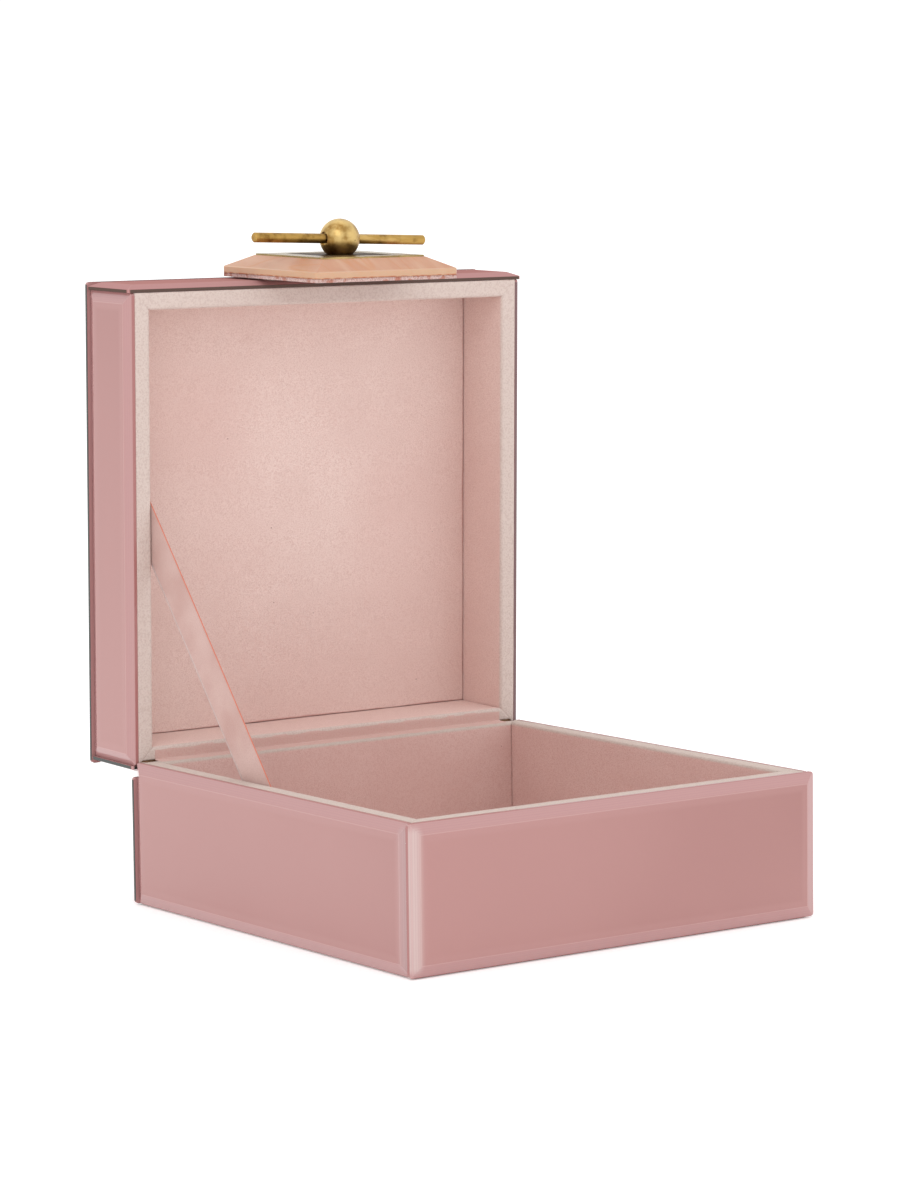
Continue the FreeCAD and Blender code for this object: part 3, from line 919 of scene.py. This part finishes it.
class MakePads(bpy.types.Operator):
    """Covered cards on the floor and ceiling, and the felt and suede sheets"""
    bl_idname = "jewelry_box.make_pads"
    bl_label = "Pads, felt and suede"

    def execute(self, context):
        # The ceiling pad gets dark red painted shade along its right and lower edges.
        ceiling = velvet("velvet_ceiling", *piles("lid"), tone(176, 112, 104), painted_seam_shade)
        ground = velvet("velvet_floor", *piles("base"))
        for name, node, body, facing, cover in (
                ("ceiling_pad", "lid_ceiling_pad", "lid", -1, ceiling),
                ("floor_pad", "base_floor_pad", "base", 1, ground)):
            pad = make_pad(name, node, body, cover, facing, 0.35 * MM, 0.15 * MM, 0.9)
        felt = plain_material("underside_felt", tone(150, 112, 106), tone(118, 84, 80), 1400.0,
                              0.95, 0.3 * MM)
        under = make_pad("felt_sheet", "underside_felt", "base", felt, -1, 0.5 * MM, 0.0, None)
        self.make_suede()
        return {"FINISHED"}

    def make_suede(self):
        """Suede under the stone, its raw edge furred and marked with glue."""
        node = "handle_suede_backing"
        low, high = shut_box(node)
        middle, half = (low + high) / 2, (high - low) / 2
        shade = Shade("suede", Sheen_Weight=0.5, Sheen_Roughness=0.5)
        fur = shade.noise(1500.0, 3.0)
        made = shade.mix(tone(176, 138, 130), tone(208, 180, 174), fur.rise(0.35, 0.62))
        made = shade.mix(made, tone(168, 88, 58), shade.noise(260.0, 2.0).rise(0.54, 0.64) * 0.75)
        shade.bump(fur, 0.4 * MM)
        shade.give(Base_Color=made, Roughness=0.95)
        outline = []
        for place in spaced(-1.0, 1.0, 0.01, 0.02, 1.2)[:-1]:
            outline.append((place, -1.0))
        for place in spaced(-1.0, 1.0, 0.01, 0.02, 1.2)[:-1]:
            outline.append((1.0, place))
        outline += [(-a, -b) for a, b in outline]
        rings = []
        for depth in spaced(-1.0, 1.0, 0.12, 0.4):
            ring = []
            for a, b in outline:
                spot = Vector((a, b, depth)) * 40
                bulge = 0.12 * MM * math.sqrt(max(0.0, 1 - depth ** 2))
                ragged = noise.noise(spot) * 0.12 * MM + noise.noise(spot * 5) * 0.06 * MM
                grow = 1 + (bulge + ragged - 0.15 * MM) / half.x
                point = middle + Vector((a * half.x * grow, -depth * half.y, b * half.z * grow))
                ring.append(OPENED @ point)
            rings.append(ring)
        piece = lofted("suede_backing", rings, shade.material)
        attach(piece, "lid")
        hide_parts(node)


class MakeHingeVelvet(bpy.types.Operator):
    """Velvet that runs from the base's back rim on to the lid's, over the hinge"""
    bl_idname = "jewelry_box.make_hinge_velvet"
    bl_label = "Velvet over the hinge"

    def execute(self, context):
        chosen = context.scene.jewelry_box
        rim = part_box("base_back_lining")[1].z
        lid_rim = shut_box("lid_back_lining")[0].z
        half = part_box("hinge_base_leaf")[1].x + 0.2 * MM
        proud, thick = 0.12 * MM, 0.32 * MM
        lap = 5.0 * MM
        back = AXIS.y
        top = OPENED.to_3x3() @ Vector((0, 1, 0))
        into_lid = Vector((0, top.y, top.z)).normalized()
        foot = OPENED @ Vector((0, back, lid_rim))
        base_run = [Vector((0, back - lap + lap * i / 8, rim + proud)) for i in range(8)]
        lid_run = [foot - into_lid * (0.9 * MM + lap * i / 8) - Vector((0, proud, 0))
                   for i in range(1, 9)]
        start, stop = base_run[-1], lid_run[0]
        knee = Vector((0, stop.y, start.z))
        bend = [start * (1 - t) ** 2 + knee * 2 * t * (1 - t) + stop * t ** 2
                for t in (i / 8 for i in range(1, 8))]
        line = base_run + bend + lid_run
        rings = []
        for x in spaced(-half, half, 0.3 * MM, 2.5 * MM):
            upper, lower = [], []
            for i, spot in enumerate(line):
                before, after = line[max(0, i - 1)], line[min(len(line) - 1, i + 1)]
                ahead = (after - before).normalized()
                normal = Vector((0, -ahead.z, ahead.y))
                fade = min(1.0, min(i, len(line) - 1 - i) / 2)
                puff = soft(Vector((x, spot.y, spot.z)), 150.0, chosen.nap_height * 0.5)
                surface = Vector((x, spot.y, spot.z)) + normal * (puff - (1 - fade) * proud * 1.6)
                upper.append(surface)
                lower.append(surface - normal * thick)
            rings.append(upper + lower[::-1])
        material = velvet("velvet_hinge", tone(202, 172, 164), rgba(chosen.velvet_shadow))
        piece = lofted("velvet_hinge_strip", rings, material)
        width = sum((b - a).length for a, b in zip(line, line[1:]))
        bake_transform(piece)
        return {"FINISHED"}


class MakeRibbon(bpy.types.Operator):
    """Stay ribbon on the left, taut with the lid open"""
    bl_idname = "jewelry_box.make_ribbon"
    bl_label = "Ribbon"

    def execute(self, context):
        chosen = context.scene.jewelry_box
        node = "ribbon_stay"
        low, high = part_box(node)
        thick = high.x - low.x
        corners = sorted((v.co.copy() for v in frame["nodes"][node].data.vertices),
                         key=lambda c: c.z)
        highest = corners[-1]
        right_foot = corners[0]
        left_foot = min(corners, key=lambda c: c.y)
        across = (right_foot - left_foot)
        across.x = 0
        width = across.length
        across.normalize()
        foot = Vector(((low.x + high.x) / 2, (left_foot.y + right_foot.y) / 2,
                       (left_foot.z + right_foot.z) / 2))
        lengthwise = Vector((0, -across.z, across.y))
        length = (highest - right_foot).dot(lengthwise)
        rings = []
        for share in spaced(0.0, 1.0, 0.004, 0.02):
            ring = []
            sway = chosen.ribbon_sway * math.sin(math.pi * share)
            for face in (1, -1):
                places = [-1 + 2 * i / 12 for i in range(13)]
                for place in places if face > 0 else reversed(places):
                    edge = 1 - 0.55 * abs(place) ** 10
                    wave = soft(Vector((share * 9, place, 2)), 1.0, 0.10 * MM)
                    spot = foot + lengthwise * (length * share) + across * (place * width / 2)
                    spot.x += face * thick / 2 * edge + sway * 0.5 + wave * 0.5
                    ring.append(spot)
            rings.append(ring)
        shade = Shade("ribbon_velvet", Sheen_Weight=0.5, Sheen_Roughness=0.45)
        fibre = shade.noise(1900.0, 3.0)
        nap = shade.noise(55.0, 2.0)
        colour = shade.mix(tone(180, 140, 131), tone(196, 163, 155), nap.rise(0.2, 0.8))
        colour = shade.mix(colour, tone(172, 132, 124), fibre.fall(0.38, 0.56) * 0.35)
        side = shade.along(across, foot)
        cut = (width / 2 + side).fall(0.25 * MM, 0.55 * MM)
        colour = shade.mix(colour, tone(206, 110, 86), cut * 0.9)
        colour = shade.mix(colour, tone(130, 84, 72), shade.specks(15 * MM, 0.4 * MM) * 0.7)
        shade.bump(fibre, 0.25 * MM, 0.7)
        shade.give(Base_Color=colour, Roughness=0.9)
        piece = lofted("ribbon", rings, shade.material)
        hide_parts(node)
        foot + lengthwise * length
        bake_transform(piece)
        return {"FINISHED"}


class MakeFibres(bpy.types.Operator):
    """Loose fibres along the rims"""
    bl_idname = "jewelry_box.make_fibres"
    bl_label = "Fibres"

    def execute(self, context):
        chosen = context.scene.jewelry_box
        tree = trail_tree("fibres along an edge", fibre_shape)
        sizes = {"Spacing": 0.55 * MM, "Length": chosen.fibre_length, "Thickness": 0.035 * MM,
                 "Tilt": 0.9, "Scatter": 0.18 * MM}
        low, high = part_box("base_floor_pad")
        inner_x, inner_y = (high.x - low.x) / 2 + 0.35 * MM, (high.y - low.y) / 2 + 0.35 * MM
        # The fibres take the rims' painted highlight colour, the lid's painted paler again.
        for body, painted_tone in (("base", tone(206, 188, 178)), ("lid", tone(230, 210, 200))):
            side = 1 if body == "base" else -1
            rim = (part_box("base_front_lining")[1].z if body == "base"
                   else shut_box("lid_front_lining")[0].z)
            height = rim - side * FIBRE_SINK
            outer = loop(WALL_REACH[0] - 0.15 * MM, WALL_REACH[1] - 0.15 * MM, height)
            inner = loop(inner_x, inner_y, height)
            shade = Shade("fibre_" + body, Sheen_Weight=0.4)
            mixed = shade.mix(painted_tone, tone(196, 160, 150), shade.noise(400.0, 1.0).rise(0.4, 0.6))
            shade.give(Base_Color=mixed, Roughness=0.9)
            # The back is left bare, where the hinge closes on it.
            outer = [outer[3], outer[0], outer[1], outer[2]]
            piece = trail("fibres_" + body, tree, [outer, inner], body, sizes, shade.material)
        return {"FINISHED"}


class MakeGlue(bpy.types.Operator):
    """Tiny beads of dried glue on the lid's back seam and the base's front corners"""
    bl_idname = "jewelry_box.make_glue"
    bl_label = "Glue beads"

    def execute(self, context):
        tree = trail_tree("beads along an edge", bead_shape)
        shade = Shade("dried_glue", Coat_Weight=0.5, Transmission_Weight=0.0)
        shade.give(Base_Color=shade.mix(tone(214, 206, 196), tone(150, 110, 92),
                                        shade.noise(900.0, 2.0).rise(0.4, 0.6)), Roughness=0.25)
        low, high = shut_box("lid_back_glass")
        top_low, _ = shut_box("lid_top_glass")
        seam = [Vector((low.x + 2 * MM, high.y, top_low.z)),
                Vector((high.x - 2 * MM, high.y, top_low.z))]
        beads = trail("glue_lid", tree, [seam], "lid",
                      {"Spacing": 3.1 * MM, "Length": 0.2 * MM, "Thickness": 0.16 * MM,
                       "Tilt": 0.5, "Scatter": 0.10 * MM}, shade.material)
        low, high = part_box("base_front_glass")
        tips = []
        for x in (low.x, high.x):
            tips.append([Vector((x * 0.9995, high.y, low.z + 2 * MM)),
                         Vector((x * 0.9995, high.y, high.z - 2 * MM))])
        drops = trail("glue_base", tree, tips, "base",
                      {"Spacing": 5.3 * MM, "Length": 0.2 * MM, "Thickness": 0.12 * MM,
                       "Tilt": 0.5, "Scatter": 0.06 * MM}, shade.material)
        return {"FINISHED"}


class JewelryBoxPanel(bpy.types.Panel):
    """Lists the pieces of the box"""
    bl_idname = "VIEW3D_PT_jewelry_box"
    bl_label = "Jewelry box"
    bl_space_type = "VIEW_3D"
    bl_region_type = "UI"
    bl_category = "Jewelry box"

    def draw(self, context):
        for maker in MAKERS:
            self.layout.operator(maker.bl_idname)
        for setting in JewelryBoxSettings.__annotations__:
            self.layout.prop(context.scene.jewelry_box, setting)


MAKERS = (MakeStage, FinishGlass, FinishHandle, FinishFrame, MakeLinings, MakePads,
          MakeHingeVelvet, MakeRibbon, MakeFibres, MakeGlue)
CLASSES = (JewelryBoxSettings,) + MAKERS + (JewelryBoxPanel,)


def register():
    for each in CLASSES:
        bpy.utils.register_class(each)
    bpy.types.Scene.jewelry_box = PointerProperty(type=JewelryBoxSettings)


def unregister():
    del bpy.types.Scene.jewelry_box
    for each in reversed(CLASSES):
        bpy.utils.unregister_class(each)


def main():
    register()
    for maker in MAKERS:
        group, action = maker.bl_idname.split(".")
        getattr(getattr(bpy.ops, group), action)()


if __name__ == "__main__":
    main()
